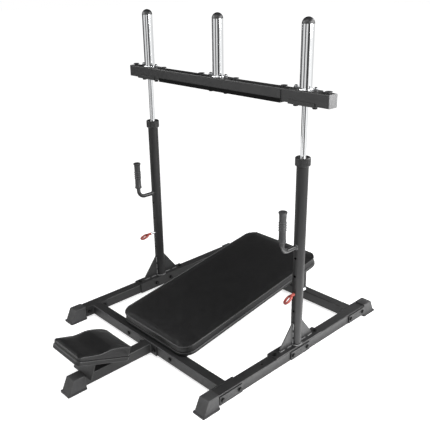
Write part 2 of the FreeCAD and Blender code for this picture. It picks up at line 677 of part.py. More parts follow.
def head_bracket():
    """Sheet bent down twice: a full-width leg in front, a leg as wide as the rail behind."""
    half = HEAD_BRACKET_HALF
    narrow = TUBE / 2
    top = -HEAD_BOARD
    reach = top - HEAD_REAR_Z
    rear_v, front_v = HEAD_BRACKET_V

    def sheet_block(half_width, v0, v1, h0, h1):
        corners = [on_head(-half_width, v0, h0), on_head(-half_width, v1, h0),
                   on_head(-half_width, v1, h1), on_head(-half_width, v0, h1)]
        return polygon(corners).extrude(V(2 * half_width, 0, 0))

    body = fuse([sheet_block(half, rear_v, front_v, top - HEAD_SHEET, top),
                 sheet_block(half, front_v - HEAD_SHEET, front_v, reach, top),
                 sheet_block(narrow, rear_v, rear_v + HEAD_SHEET, reach, top)])
    above = box(-half - 1, half + 1, -HEAD_REACH, -CROSS_OFFSET, RAIL_TOP, TALL)
    holes = [Part.makeCylinder(HEAD_SCREW_R + SLIP, 2 * HEAD_SHEET, on_head(x, v, top - 1.5 * HEAD_SHEET),
                               head_normal) for x, v in HEAD_SCREWS]
    return cut(body.common(above), holes)


export(head_bracket(), "head_pad_bracket")
head_screws = []
for x, v in HEAD_SCREWS:
    start = on_head(x, v, -HEAD_BOARD - HEAD_SHEET)
    shank = Part.makeCylinder(HEAD_SCREW_R, HEAD_SHEET + HEAD_SCREW_BITE - 2, start, head_normal)
    under = start - head_normal * HEAD_SCREW_CAP
    cap = Part.makeCylinder(2 * HEAD_SCREW_R, HEAD_SCREW_CAP, under, head_normal)
    head_screws.append(fuse([shank, cap]))
export(many(head_screws), "head_pad_screws")

# Carriage beam
BUMPER_R = 15.0
BUMPER_HEIGHT = 9.0
BUMPER_NECK_R = 9.0
BUMPER_NECK = 5.0
BUMPER_STEM_R = 4.0
BUMPER_STEM = 8.0
CAP_FACE = 3.0
CAP_WALL = 2.5
CAP_DEPTH = 12.0
BUMPER_X = [x + side for x in PEG_X for side in (-BUMPER_OFFSET, BUMPER_OFFSET)]

beam = square_tube_x(-BEAM_HALF, BEAM_HALF, 0.0, BEAM_UNDERSIDE, BEAM_DEPTH, BEAM_HEIGHT)
beam_holes = []
for x in PEG_X:
    for side in (-PEG_BOLT, PEG_BOLT):
        beam_holes.append(rod(x + side, 0, BEAM_UNDERSIDE, M12_R + SLIP, BEAM_HEIGHT, (0, 0, 1)))
for x in BUMPER_X:
    beam_holes.append(rod(x, 0, BEAM_TOP - 2 * TUBE_WALL, BUMPER_STEM_R + SLIP, 2 * TUBE_WALL, (0, 0, 1)))
export(cut(beam, beam_holes), "beam")


def beam_cap():
    """End cap: a face as large as the tube, and a hollow plug that presses into it."""
    def face(inset, x):
        return rounded_wire(-BEAM_DEPTH / 2 + inset, BEAM_DEPTH / 2 - inset, BEAM_UNDERSIDE + inset,
                            BEAM_TOP - inset, max(TUBE_CORNER - inset, 1.0), lambda a, b: at(x, a, b))

    fit = TUBE_WALL + SLIP
    plug = prism(face(fit, BEAM_HALF - CAP_DEPTH), V(CAP_DEPTH, 0, 0))
    hollow = prism(face(fit + CAP_WALL, BEAM_HALF - CAP_DEPTH), V(CAP_DEPTH - 1, 0, 0))
    return fuse([prism(face(0.0, BEAM_HALF), V(CAP_FACE, 0, 0)), cut(plug, [hollow])])


right_cap = beam_cap()
export(many([right_cap, mirrored(right_cap)]), "beam_end_caps")

# Plate pegs, their base plates and domes
DOME_PLUG = 20.0
peg_foot = BEAM_TOP + PEG_PLATE
dome_base = peg_foot + PEG_LENGTH
peg_plates = []
for x, node in zip(PEG_X, ("left_peg", "centre_peg", "right_peg")):
    plate = box(x - BRACKET_HALF, x + BRACKET_HALF, -BEAM_DEPTH / 2, BEAM_DEPTH / 2, BEAM_TOP, peg_foot)
    holes = [rod(x + side, 0, BEAM_TOP, M12_R + SLIP, PEG_PLATE, (0, 0, 1)) for side in (-PEG_BOLT, PEG_BOLT)]
    peg_plates.append(cut(plate, holes))
    weld = Part.makeCone(PEG_R + PEG_WELD, PEG_R + 1.5, PEG_WELD + 1, at(x, 0, peg_foot))
    tube = rod(x, 0, peg_foot, PEG_R, PEG_LENGTH, (0, 0, 1))
    bore = rod(x, 0, peg_foot, PEG_R - PEG_WALL, PEG_LENGTH, (0, 0, 1))
    export(cut(fuse([tube, weld]), [bore]), node)
    dome = Part.makeSphere(PEG_R, at(x, 0, dome_base), V(0, 0, 1), 0, 90, 360)
    plug = rod(x, 0, dome_base - DOME_PLUG, PEG_R - PEG_WALL - SLIP, DOME_PLUG + 1, (0, 0, 1))
    export(fuse([dome, plug]), node + "_cap")
export(many(peg_plates), "peg_plates")


def bumper(x):
    """Mushroom buffer that a weight plate lands on, with its stem in the beam."""
    edge = 2.0
    outline = [(0, -BUMPER_STEM), (BUMPER_STEM_R, -BUMPER_STEM), (BUMPER_STEM_R, 0), (BUMPER_NECK_R, 0),
               (BUMPER_NECK_R, BUMPER_NECK), (BUMPER_R, BUMPER_NECK), (BUMPER_R, BUMPER_HEIGHT - edge),
               (BUMPER_R - edge, BUMPER_HEIGHT), (0, BUMPER_HEIGHT)]
    points = [at(x + r, 0, BEAM_TOP + z) for r, z in outline]
    return polygon(points).revolve(at(x, 0, 0), V(0, 0, 1), 360)


export(many([bumper(x) for x in BUMPER_X]), "plate_bumpers")

# Guide rods, their brackets and glides
BRACKET_LIP = 12.0          # turned-up edge beside the beam
ROD_WELD = 3.5
GLIDE_RISE = 5.0            # end of the rod to its glide
GLIDE_LENGTH = 40.0
ROD_BOTTOM = PIN_HEIGHT + PIN_R + SLIP
BRACKET_LOW = BEAM_UNDERSIDE - BRACKET


def channel_shape(x0, x1, wall, inner_half, low, high):
    """Upward channel along X: floor and two sides of one wall thickness."""
    outer = box(x0, x1, -inner_half - wall, inner_half + wall, low, high)
    return cut(outer, [box(x0, x1, -inner_half, inner_half, low + wall, high)])


def carriage_holes(xs, low, high, radius):
    return [rod(x + side, 0, low, radius, high - low, (0, 0, 1)) for x in xs for side in (-PEG_BOLT, PEG_BOLT)]


right_bracket = channel_shape(TRACK_HALF - BRACKET_HALF, TRACK_HALF + BRACKET_HALF, BRACKET, BEAM_DEPTH / 2,
                              BRACKET_LOW, BEAM_UNDERSIDE + BRACKET_LIP)
right_bracket = cut(right_bracket, carriage_holes([TRACK_HALF], BRACKET_LOW, BEAM_UNDERSIDE, M12_R + SLIP))
export(right_bracket, "right_rod_bracket")
export(mirrored(right_bracket), "left_rod_bracket")

weld_low = BRACKET_LOW - ROD_WELD - 0.5
rod_weld = Part.makeCone(ROD_R, ROD_R + ROD_WELD, ROD_WELD + 0.5, at(TRACK_HALF, 0, weld_low))
right_rod = fuse([rod(TRACK_HALF, 0, ROD_BOTTOM, ROD_R, BRACKET_LOW - ROD_BOTTOM, (0, 0, 1)), rod_weld])
export(right_rod, "right_guide_rod")
export(mirrored(right_rod), "left_guide_rod")

glide_low = ROD_BOTTOM + GLIDE_RISE
right_glide = cut(rod(TRACK_HALF, 0, glide_low, BORE_R - SLIP, GLIDE_LENGTH, (0, 0, 1)),
                  [rod(TRACK_HALF, 0, glide_low, ROD_R + SLIP, GLIDE_LENGTH, (0, 0, 1))])
export(right_glide, "right_rod_glide")
export(mirrored(right_glide), "left_rod_glide")

# Foot channel and its grip mat
CHANNEL_RIM = 6.0           # beam top down to the channel's rim
MAT_LIP = 12.0

channel = channel_shape(-CHANNEL_HALF, CHANNEL_HALF, BRACKET, BEAM_DEPTH / 2, BRACKET_LOW,
                        BEAM_TOP - CHANNEL_RIM)
export(cut(channel, carriage_holes([0.0], BRACKET_LOW, BEAM_UNDERSIDE, M12_R + SLIP)), "foot_channel")
mat_low = BRACKET_LOW - MAT
mat = channel_shape(-CHANNEL_HALF, CHANNEL_HALF, MAT, BEAM_DEPTH / 2 + BRACKET, mat_low,
                    BEAM_UNDERSIDE + MAT_LIP)
export(cut(mat, carriage_holes([0.0], mat_low, BRACKET_LOW, WASHER_R + 1)), "foot_grip_mat")

# Carriage bolts, washers and domed nuts
NUT_SKIRT = 7.0
NUT_DOME = 15.0             # height over all


def cap_nut(x):
    """Domed nut: hexagon below, rounded cap above, blind hole for the bolt's end."""
    base = 0.48 * M12_FLATS
    cap = NUT_DOME - NUT_SKIRT
    outline = [(0, -1), (base, -1), (base, 0.2 * cap), (0.84 * base, 0.6 * cap), (0.45 * base, 0.93 * cap),
               (0, cap)]
    points = [at(x + r, 0, peg_foot + NUT_SKIRT + z) for r, z in outline]
    dome = polygon(points).revolve(at(x, 0, 0), V(0, 0, 1), 360)
    body = fuse([hexagon(x, 0, peg_foot, M12_FLATS, NUT_SKIRT, (0, 0, 1)), dome])
    return cut(body, [rod(x, 0, peg_foot, M12_R + SLIP, THREAD_END + 1, (0, 0, 1))])


carriage_bolts = []
carriage_washers = []
carriage_nuts = []
washer_low = BRACKET_LOW - WASHER
for x in PEG_X:
    for side in (-PEG_BOLT, PEG_BOLT):
        washer = rod(x + side, 0, washer_low, WASHER_R, WASHER, (0, 0, 1))
        bore = rod(x + side, 0, washer_low, M12_R + SLIP, WASHER, (0, 0, 1))
        carriage_washers.append(cut(washer, [bore]))
        carriage_bolts.append(bolt(x + side, 0, washer_low, M12_R, peg_foot - washer_low + THREAD_END,
                                   M12_HEAD, M12_FLATS, (0, 0, 1)))
        carriage_nuts.append(cap_nut(x + side))
export(many(carriage_bolts + carriage_washers), "carriage_bolts")
export(many(carriage_nuts), "carriage_cap_nuts")

# Safety pins with their coated pull loops
PIN_PROUD = 0.6             # shank in front of the tube when the pin is home
PIN_PAST = 28.6             # shank behind the tube
PIN_POINT = 3.0
SLEEVE = 26.0               # coated head of the pin
SLEEVE_WALL = 0.6
RING_R = 17.0               # middle of the wire, at both round ends of the ring
RING_STRAIGHT = 7.0
RING_WIRE_R = 5.8
RING_ROOT = 3.0             # ring buried in the sleeve


def pin_shank(x, out):
    head = -TUBE_R - PIN_PROUD - out
    length = 2 * TUBE_R + PIN_PROUD + PIN_PAST
    body = rod(x, head, PIN_HEIGHT, PIN_R, length - PIN_POINT, (0, 1, 0))
    tip = at(x, head + length - PIN_POINT, PIN_HEIGHT)
    point = Part.makeCone(PIN_R, PIN_R - 2, PIN_POINT, tip, V(0, 1, 0))
    return fuse([body, point])


def pull_loop(x, out, droop, roll):
    """Coated sleeve in line with the shank, and a wire ring that hangs from its end."""
    head = -TUBE_R - PIN_PROUD - out
    r = RING_R
    low = -RING_R - RING_STRAIGHT
    path = Part.Wire([Part.Arc(V(r, -r, 0), V(0, 0, 0), V(-r, -r, 0)).toShape(),
                      Part.makeLine(V(-r, -r, 0), V(-r, low, 0)),
                      Part.Arc(V(-r, low, 0), V(0, low - r, 0), V(r, low, 0)).toShape(),
                      Part.makeLine(V(r, low, 0), V(r, -r, 0))])
    section = Part.Wire([Part.makeCircle(RING_WIRE_R, V(r, -r, 0), V(0, 1, 0))])
    ring = path.makePipeShell([section], True, False)
    ring.rotate(V(0, 0, 0), V(0, 1, 0), roll)
    ring.rotate(V(0, 0, 0), V(1, 0, 0), droop)
    ring.translate(at(x, head - SLEEVE + RING_ROOT, PIN_HEIGHT))
    skin = PIN_R + SLEEVE_WALL
    sleeve = rod(x, head - SLEEVE, PIN_HEIGHT, skin, SLEEVE, (0, 1, 0))
    nose = Part.makeSphere(skin, at(x, head - SLEEVE, PIN_HEIGHT))
    return fuse([sleeve, nose, ring])


export(pin_shank(TRACK_HALF, 0.0), "right_pin")
export(pin_shank(-TRACK_HALF, LEFT_PIN_OUT), "left_pin")
export(pull_loop(TRACK_HALF, 0.0, 34.0, -28.0), "right_pin_loop")
export(pull_loop(-TRACK_HALF, LEFT_PIN_OUT, 18.0, -12.0), "left_pin_loop")
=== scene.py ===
import math

import bpy
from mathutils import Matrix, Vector


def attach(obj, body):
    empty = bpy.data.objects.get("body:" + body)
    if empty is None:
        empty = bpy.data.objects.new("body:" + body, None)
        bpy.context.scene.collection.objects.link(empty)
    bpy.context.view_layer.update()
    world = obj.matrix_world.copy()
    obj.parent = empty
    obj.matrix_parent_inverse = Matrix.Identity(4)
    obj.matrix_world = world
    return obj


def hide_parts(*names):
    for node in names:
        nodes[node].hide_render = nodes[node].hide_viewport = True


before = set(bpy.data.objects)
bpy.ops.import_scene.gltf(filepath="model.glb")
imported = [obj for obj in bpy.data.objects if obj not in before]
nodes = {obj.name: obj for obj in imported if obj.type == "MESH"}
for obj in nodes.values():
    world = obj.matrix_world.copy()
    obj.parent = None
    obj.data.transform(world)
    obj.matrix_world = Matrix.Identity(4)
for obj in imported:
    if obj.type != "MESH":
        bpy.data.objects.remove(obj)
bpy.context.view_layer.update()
bpy.ops.object.select_all(action="DESELECT")


# Side rails: 50 mm square steel tube, four radiused corners, one on each side of the base.
# Cut to length, drilled, and finished in a satin black powder coat with a faint orange peel.
def new_finish(name, colour, rough, metal=0.0, shine=0.5):
    """A material with one Principled shader; returns what the next nodes are wired to."""
    mat = bpy.data.materials.new(name)
    mat.use_nodes = True
    tree = mat.node_tree
    shader = tree.nodes["Principled BSDF"]
    shader.inputs["Base Color"].default_value = (*colour, 1.0)
    shader.inputs["Roughness"].default_value = rough
    shader.inputs["Metallic"].default_value = metal
    shader.inputs["Specular IOR Level"].default_value = shine
    place = tree.nodes.new("ShaderNodeTexCoord").outputs["Object"]
    return mat, tree, shader, place


def grain(tree, place, scale, detail=2.0):
    """Noise at a real scale, in counts per metre."""
    noise = tree.nodes.new("ShaderNodeTexNoise")
    noise.inputs["Scale"].default_value = scale
    noise.inputs["Detail"].default_value = detail
    tree.links.new(place, noise.inputs["Vector"])
    return noise.outputs["Fac"]


def spread(tree, value, low, high):
    """Turns a 0.3 to 0.7 noise into a number between low and high."""
    remap = tree.nodes.new("ShaderNodeMapRange")
    remap.inputs["From Min"].default_value = 0.3
    remap.inputs["From Max"].default_value = 0.7
    remap.inputs["To Min"].default_value = low
    remap.inputs["To Max"].default_value = high
    tree.links.new(value, remap.inputs["Value"])
    return remap.outputs["Result"]


def tint(tree, value, dark, light):
    """Colour between two shades, chosen by a noise."""
    ramp = tree.nodes.new("ShaderNodeValToRGB")
    ramp.color_ramp.elements[0].position = 0.32
    ramp.color_ramp.elements[1].position = 0.68
    ramp.color_ramp.elements[0].color = (*dark, 1.0)
    ramp.color_ramp.elements[1].color = (*light, 1.0)
    tree.links.new(value, ramp.inputs["Fac"])
    return ramp.outputs["Color"]


def relief(tree, height, depth, strength=1.0, under=None):
    """Bump of a real depth in metres, over an earlier bump or a rounded edge."""
    bump = tree.nodes.new("ShaderNodeBump")
    bump.inputs["Strength"].default_value = strength
    bump.inputs["Distance"].default_value = depth
    tree.links.new(height, bump.inputs["Height"])
    if under:
        tree.links.new(under, bump.inputs["Normal"])
    return bump.outputs["Normal"]


def soft_edge(tree, radius):
    """Shades a hard corner as if it were rounded by this radius."""
    edge = tree.nodes.new("ShaderNodeBevel")
    edge.samples = 4
    edge.inputs["Radius"].default_value = radius
    return edge.outputs["Normal"]


def wear(tree, shader, place, scale, low, high, detail=2.0):
    """Roughness that wanders between low and high over the surface."""
    patches = spread(tree, grain(tree, place, scale, detail), low, high)
    tree.links.new(patches, shader.inputs["Roughness"])


def skin(tree, shader, place, scale, depth, strength, under=None):
    """Fine grain that a mould, a bath or a spray gun leaves, as bump."""
    pores = relief(tree, grain(tree, place, scale), depth, strength, under)
    tree.links.new(pores, shader.inputs["Normal"])


def powder_coat(name, dark, light, low, high, shine=0.5):
    """Baked coat: a shade and a roughness that wander a little, and orange peel."""
    mat, tree, shader, place = new_finish(name, dark, low, 0.0, shine)
    shade = tint(tree, grain(tree, place, 9.0, 3.0), dark, light)
    tree.links.new(shade, shader.inputs["Base Color"])
    wear(tree, shader, place, 60.0, low, high)
    peel = relief(tree, grain(tree, place, 520.0, 1.0), 0.00005, 0.6, soft_edge(tree, 0.0009))
    tree.links.new(peel, shader.inputs["Normal"])
    return mat


def dress(mat, *names):
    """Gives CAD nodes this finish in every material slot."""
    for name in names:
        for slot in nodes[name].material_slots:
            slot.material = mat


coat = powder_coat("satin black powder coat", (0.015, 0.015, 0.0154), (0.02, 0.02, 0.0204), 0.38, 0.5)
dress(coat, "left_side_rail", "right_side_rail")


# Crossmembers and head rail: the same tube, with drilled flat flanges welded across the ends.
# The weld beads are left as laid, under the powder coat, and that coat is painted a lighter grey on them: a
# painted highlight for the glint they catch.
def pick(*pieces):
    """Leaves only these objects selected, the first one active."""
    bpy.ops.object.select_all(action="DESELECT")
    for piece in pieces:
        piece.select_set(True)
    bpy.context.view_layer.objects.active = pieces[0]


def settle():
    """Writes the place, turn and scale of what is selected into its mesh."""
    bpy.ops.object.transform_apply(location=True, rotation=True, scale=True)


def join(name, parts):
    """Makes one piece of several, with its place in its mesh."""
    pick(*parts)
    if len(parts) > 1:
        bpy.ops.object.join()
    piece = bpy.context.object
    piece.name = name
    settle()
    return piece


def finish_piece(piece, mat, body, slot, *replaced):
    """Finish, body and material of a piece, and the CAD nodes that it stands for. The slot argument is not
    used.
    """
    piece.data.materials.clear()
    piece.data.materials.append(mat)
    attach(piece, body)
    if replaced:
        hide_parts(*replaced)


bead_pitch, bead_wobble = 0.55, 0.05


def bead_drop(place, size, seed):
    """One drop of a weld, a little uneven, left open in edit mode."""
    bpy.ops.object.select_all(action="DESELECT")
    bpy.ops.mesh.primitive_ico_sphere_add(subdivisions=2, radius=size / 2, location=place)
    bpy.ops.object.mode_set(mode="EDIT")
    bpy.ops.transform.vertex_random(offset=size * bead_wobble, seed=seed)


def bead_run(start, end, size):
    """Straight weld: overlapping drops from start to end, size across."""
    way = Vector(end) - Vector(start)
    count = max(2, round(way.length / (size * bead_pitch)))
    bead_drop(start, size, count)
    bpy.ops.object.mode_set(mode="OBJECT")
    drop = bpy.context.object
    row = drop.modifiers.new("row", "ARRAY")
    row.count = count
    row.use_relative_offset = False
    row.use_constant_offset = True
    row.constant_offset_displace = way / (count - 1)
    bpy.ops.object.modifier_apply(modifier=row.name)
    bpy.ops.object.shade_smooth()
    return drop


def bead_ring(centre, radius, axis, size):
    """Round weld: drops spun about a centre, square to the axis."""
    side = Vector(axis).orthogonal().normalized() * radius
    bead_drop(Vector(centre) + side, size, 7)
    steps = round(2 * math.pi * radius / (size * bead_pitch))
    bpy.ops.mesh.spin(steps=steps, dupli=True, angle=2 * math.pi, center=centre, axis=axis)
    bpy.ops.object.mode_set(mode="OBJECT")
    bpy.ops.object.shade_smooth()
    return bpy.context.object


dress(coat, "front_crossmember", "rear_crossmember", "head_rail")
# Weld coat: grey several times lighter than the frame coat, a painted highlight on the beads of the base, pad
# frame and handles.
weld_highlight_coat = powder_coat("weld beads painted light as highlight", (0.05, 0.05, 0.051), (0.09, 0.09, 0.091), 0.16, 0.26)
tube_half, rail_low, rail_top = 0.025, 0.012, 0.062
front_cross_y, rear_cross_y, flange_x, head_flange_y = -0.289, 0.603, 0.4635, -0.3195
weld_low, weld_high, weld_size = rail_low + 0.006, rail_top - 0.006, 0.0055
weld_feet = [(x, y) for cross_y in (front_cross_y, rear_cross_y) for x in (-flange_x, flange_x)
             for y in (cross_y - tube_half, cross_y + tube_half)]
weld_feet += [(-tube_half, head_flange_y), (tube_half, head_flange_y)]
welds = [bead_run((x, y, weld_low), (x, y, weld_high), weld_size) for x, y in weld_feet]
finish_piece(join("base_welds", welds), weld_highlight_coat, "frame", "coat")


# Rubber boots pushed over the five tube ends: raked tip, flared sides, a rim round the sole.
# Moulded in one shot, so every edge is softened.
def softened(node, name, width, segments=2):
    """A copy of a CAD node's mesh, merged, with its sharp edges rounded."""
    piece = bpy.data.objects.new(name, nodes[node].data.copy())
    bpy.context.collection.objects.link(piece)
    pick(piece)
    bpy.ops.object.mode_set(mode="EDIT")
    bpy.ops.mesh.select_all(action="SELECT")
    bpy.ops.mesh.remove_doubles(threshold=0.00002)
    bpy.ops.mesh.dissolve_limited(angle_limit=math.radians(1.0))
    bpy.ops.object.mode_set(mode="OBJECT")
    rounded = piece.modifiers.new("soft edges", "BEVEL")
    rounded.width = width
    rounded.segments = segments
    rounded.limit_method = "ANGLE"
    rounded.angle_limit = math.radians(38.0)
    bpy.ops.object.modifier_apply(modifier=rounded.name)
    bpy.ops.object.shade_smooth_by_angle(angle=math.radians(42.0))
    return piece


rubber, tree, shader, place = new_finish("moulded rubber", (0.03, 0.03, 0.031), 0.55)
shade = tint(tree, grain(tree, place, 25.0, 4.0), (0.026, 0.026, 0.027), (0.038, 0.038, 0.039))
tree.links.new(shade, shader.inputs["Base Color"])
wear(tree, shader, place, 70.0, 0.48, 0.62)
skin(tree, shader, place, 1400.0, 0.00006, 0.7)
for node in ("front_left_boot", "front_right_boot", "rear_left_boot", "rear_right_boot", "head_boot"):
    finish_piece(softened(node, node + "_moulding", 0.0009), rubber, "frame", "black_rubber", node)


# Backing plates: 6 mm flat bar outside the rails, where the flanges and saddles bolt through.
# Sheared and coated, with slightly eased edges.
finish_piece(softened("backing_plates", "backing_flats", 0.0006, 1), coat, "frame", "coat", "backing_plates")


# Frame bolts: M10 flange-head hexagons outside and lock nuts inside, blackened.
# Twelve through the rails, four through the front crossmember, four down into the rails.
def ease(piece, width):
    """Rounds the sharp edges of the active piece by this width."""
    bevel = piece.modifiers.new("eased", "BEVEL")
    bevel.width = width
    bevel.segments = 2
    bpy.ops.object.modifier_apply(modifier=bevel.name)


def hex_head(across, height, flare, flare_height):
    """Hexagon on a round flange, its corners chamfered; it stands on z = 0."""
    chamfer = 0.0004
    bpy.ops.object.select_all(action="DESELECT")
    bpy.ops.mesh.primitive_cylinder_add(vertices=6, radius=across / math.sqrt(3), depth=height - chamfer,
                                        location=(0, 0, height / 2 + chamfer / 2))
    head = bpy.context.object
    bpy.ops.object.mode_set(mode="EDIT")
    bpy.ops.mesh.select_all(action="DESELECT")
    bpy.ops.object.mode_set(mode="OBJECT")
    for face in head.data.polygons:
        face.select = face.normal.z > 0.9
    bpy.ops.object.mode_set(mode="EDIT")
    bpy.ops.mesh.inset(thickness=3 * chamfer)
    bpy.ops.transform.translate(value=(0, 0, chamfer))
    bpy.ops.object.mode_set(mode="OBJECT")
    ease(head, 0.0004)
    bpy.ops.mesh.primitive_cylinder_add(vertices=28, radius=flare, depth=flare_height,
                                        location=(0, 0, flare_height / 2))
    collar = bpy.context.object
    ease(collar, flare_height * 0.35)
    return join("hexagon", [head, collar])


def threaded_end(radius, length):
    """Bolt end that stands up z from its nut: a necked root, and a few thread ridges to its tip."""
    ridges = 9
    bpy.ops.mesh.primitive_cylinder_add(vertices=20, radius=radius, depth=length, location=(0, 0, length / 2))
    shank = bpy.context.object
    bpy.ops.object.mode_set(mode="EDIT")
    for turn in range(1, ridges):
        bpy.ops.mesh.select_all(action="SELECT")
        bpy.ops.mesh.bisect(plane_co=(0, 0, length * turn / ridges), plane_no=(0, 0, 1))
    bpy.ops.object.mode_set(mode="OBJECT")
    for v in shank.data.vertices:
        turn = round((v.co.z + length / 2) / length * ridges)
        shrink = 0.9 if turn % 2 else 1.0
        if turn == 0:
            shrink = 0.8
        v.co.x *= shrink
        v.co.y *= shrink
    pick(shank)
    bpy.ops.object.shade_smooth_by_angle(angle=math.radians(30.0))
    return shank


def place_copies(name, template, places):
    """Copies of one template, each turned from +z to its own way out, joined to one piece."""
    copies = []
    for spot, out in places:
        copy = bpy.data.objects.new(name, template.data.copy())
        bpy.context.collection.objects.link(copy)
        copy.location = spot
        copy.rotation_euler = Vector(out).to_track_quat("Z", "Y").to_euler()
        copies.append(copy)
    bpy.data.objects.remove(template)
    pick(*copies)
    settle()
    return join(name, copies)


black_steel, tree, shader, place = new_finish("blackened steel", (0.004, 0.004, 0.0042), 0.4, 0.1, 0.3)
wear(tree, shader, place, 300.0, 0.32, 0.46)
skin(tree, shader, place, 1800.0, 0.00003, 0.6)


def frame_fixings(name, template, places, *replaced):
    """One piece of equal blackened fixings on the frame."""
    finish_piece(place_copies(name, template, places), black_steel, "frame", "black_steel", *replaced)


m10_head, m10_nut = (0.0165, 0.0064, 0.0102, 0.0016), (0.0165, 0.0084, 0.0100, 0.0016)
m10_radius, m10_end, bolt_height = 0.005, 0.0108, 0.037
upright_x, upright_y, deck = 0.494, 0.157, 0.0675
plate_out, pad_rail_x, pair_step = 0.525, 0.155, 0.05
rail_spots = [(side, y + step) for side in (-1, 1) for y in (front_cross_y, upright_y, rear_cross_y)
              for step in (-pair_step, pair_step)]
rail_outside = [((side * plate_out, y, bolt_height), (side, 0, 0)) for side, y in rail_spots]
rail_inside = [((side * flange_x, y, bolt_height), (-side, 0, 0)) for side, y in rail_spots]
frame_fixings("rail_bolt_heads", hex_head(*m10_head), rail_outside, "rail_bolts")
frame_fixings("rail_bolt_ends", threaded_end(m10_radius, m10_end), rail_inside)
frame_fixings("rail_lock_nuts", hex_head(*m10_nut), rail_inside, "rail_nuts")
cross_spots = [(-pad_rail_x, -0.314, -0.2585), (-pair_step, head_flange_y, -0.264),
               (pair_step, head_flange_y, -0.264), (pad_rail_x, -0.314, -0.2585)]
cross_front = [((x, front, bolt_height), (0, -1, 0)) for x, front, behind in cross_spots]
cross_behind = [((x, behind, bolt_height), (0, 1, 0)) for x, front, behind in cross_spots]
frame_fixings("cross_bolt_heads", hex_head(*m10_head), cross_front, "cross_bolts")
frame_fixings("cross_lock_nuts", hex_head(*m10_nut), cross_behind, "cross_nuts")
frame_fixings("cross_bolt_ends", threaded_end(m10_radius, m10_end), cross_behind)
saddle_down = [((side * upright_x, upright_y + step, deck), (0, 0, 1)) for side in (-1, 1)
               for step in (-0.143, 0.143)]
frame_fixings("saddle_bolt_heads", hex_head(*m10_head), saddle_down, "saddle_bolts")


# Pad frame: two sloping tubes, each mitred onto a post on the rear crossmember.
# A short toe plate at the front end bolts to the front crossmember.
dress(coat, "left_pad_rail", "right_pad_rail")
welds = []
weld_half = 0.022
for side in (-1, 1):
    post_x, post_y = side * pad_rail_x, rear_cross_y
    for x in (post_x - tube_half, post_x + tube_half):
        welds.append(bead_run((x, post_y - weld_half, rail_top), (x, post_y + weld_half, rail_top), weld_size))
    for y in (post_y - tube_half, post_y + tube_half):
        welds.append(bead_run((post_x - weld_half, y, rail_top), (post_x + weld_half, y, rail_top), weld_size))
finish_piece(join("pad_frame_welds", welds), weld_highlight_coat, "frame", "coat")
dress(black_steel, "pad_bolts")


# Back pad board: 15 mm plywood, its rim wrapped in the vinyl of the pad.
# Four bolts come up through the pad rails into it.
def leather_grain(name, dark, light, low, high, shine=0.5):
    """Embossed vinyl: pebbles under 2 mm across, over slow waves of about a centimetre."""
    mat, tree, shader, place = new_finish(name, dark, low, 0.0, shine)
    cells = tree.nodes.new("ShaderNodeTexVoronoi")
    cells.feature = "SMOOTH_F1"
    cells.inputs["Scale"].default_value = 620.0
    cells.inputs["Randomness"].default_value = 0.9
    tree.links.new(place, cells.inputs["Vector"])
    shade = tint(tree, grain(tree, place, 14.0, 3.0), dark, light)
    tree.links.new(shade, shader.inputs["Base Color"])
    wear(tree, shader, place, 45.0, low, high)
    pebble = relief(tree, cells.outputs["Distance"], 0.00016, 0.5)
    skin(tree, shader, place, 95.0, 0.0004, 0.2, pebble)
    return mat


vinyl = leather_grain("black vinyl", (0.0065, 0.0065, 0.0068), (0.0085, 0.0085, 0.0088), 0.4, 0.48, 0.42)
# The piping's vinyl is about three times lighter than the pad's black vinyl: a painted highlight along the
# rounded sewn edge.
welt_highlight_vinyl = leather_grain("welt vinyl painted light as highlight", (0.022, 0.022, 0.0225), (0.028, 0.028, 0.0285), 0.28, 0.36)
dress(vinyl, "back_pad_board")


# Back pad cushion: foam on the board, a flat vinyl top sewn to a side band along a piped edge.
# Blown up as cloth: glued down on the board, and hardly free to rise at the sewn edge.
def rounded_block(name, size, middle, corner, segments):
    """Block of this size along x, y and z, with its upright corners rounded."""
    bpy.ops.object.select_all(action="DESELECT")
    bpy.ops.mesh.primitive_cube_add(size=1.0, location=middle)
    block = bpy.context.object
    block.name = name
    block.scale = size
    settle()
    bpy.ops.object.mode_set(mode="EDIT")
    bpy.ops.mesh.select_mode(type="EDGE")
    bpy.ops.mesh.select_all(action="DESELECT")
    bpy.ops.object.mode_set(mode="OBJECT")
    for e in block.data.edges:
        a, b = (block.data.vertices[i].co for i in e.vertices)
        e.select = abs(a.z - b.z) > size[2] / 2
    bpy.ops.object.mode_set(mode="EDIT")
    bpy.ops.mesh.bevel(offset=corner, segments=segments)
    bpy.ops.mesh.select_mode(type="VERT")
    bpy.ops.object.mode_set(mode="OBJECT")
    return block


def distance_in(x, y, half, y0, y1, corner):
    """How far a point of the plan is inside the pad's rounded outline."""
    cx = abs(x) - (half - corner)
    cy = abs(y - (y0 + y1) / 2) - ((y1 - y0) / 2 - corner)
    outside = math.hypot(max(cx, 0.0), max(cy, 0.0))
    return corner - outside - min(max(cx, cy), 0.0)


least_room = 0.0004


def crown_room(edge, crown, reach):
    """How far the top may rise, by its distance in from the sewn edge."""
    return least_room + crown * (1.0 - math.exp(-max(edge, 0.0) / reach))


def band_room(share, swell):
    """How far the side band may swell, by its share of the band's height."""
    return least_room + swell * math.sin(math.pi * min(max(share, 0.0), 1.0))


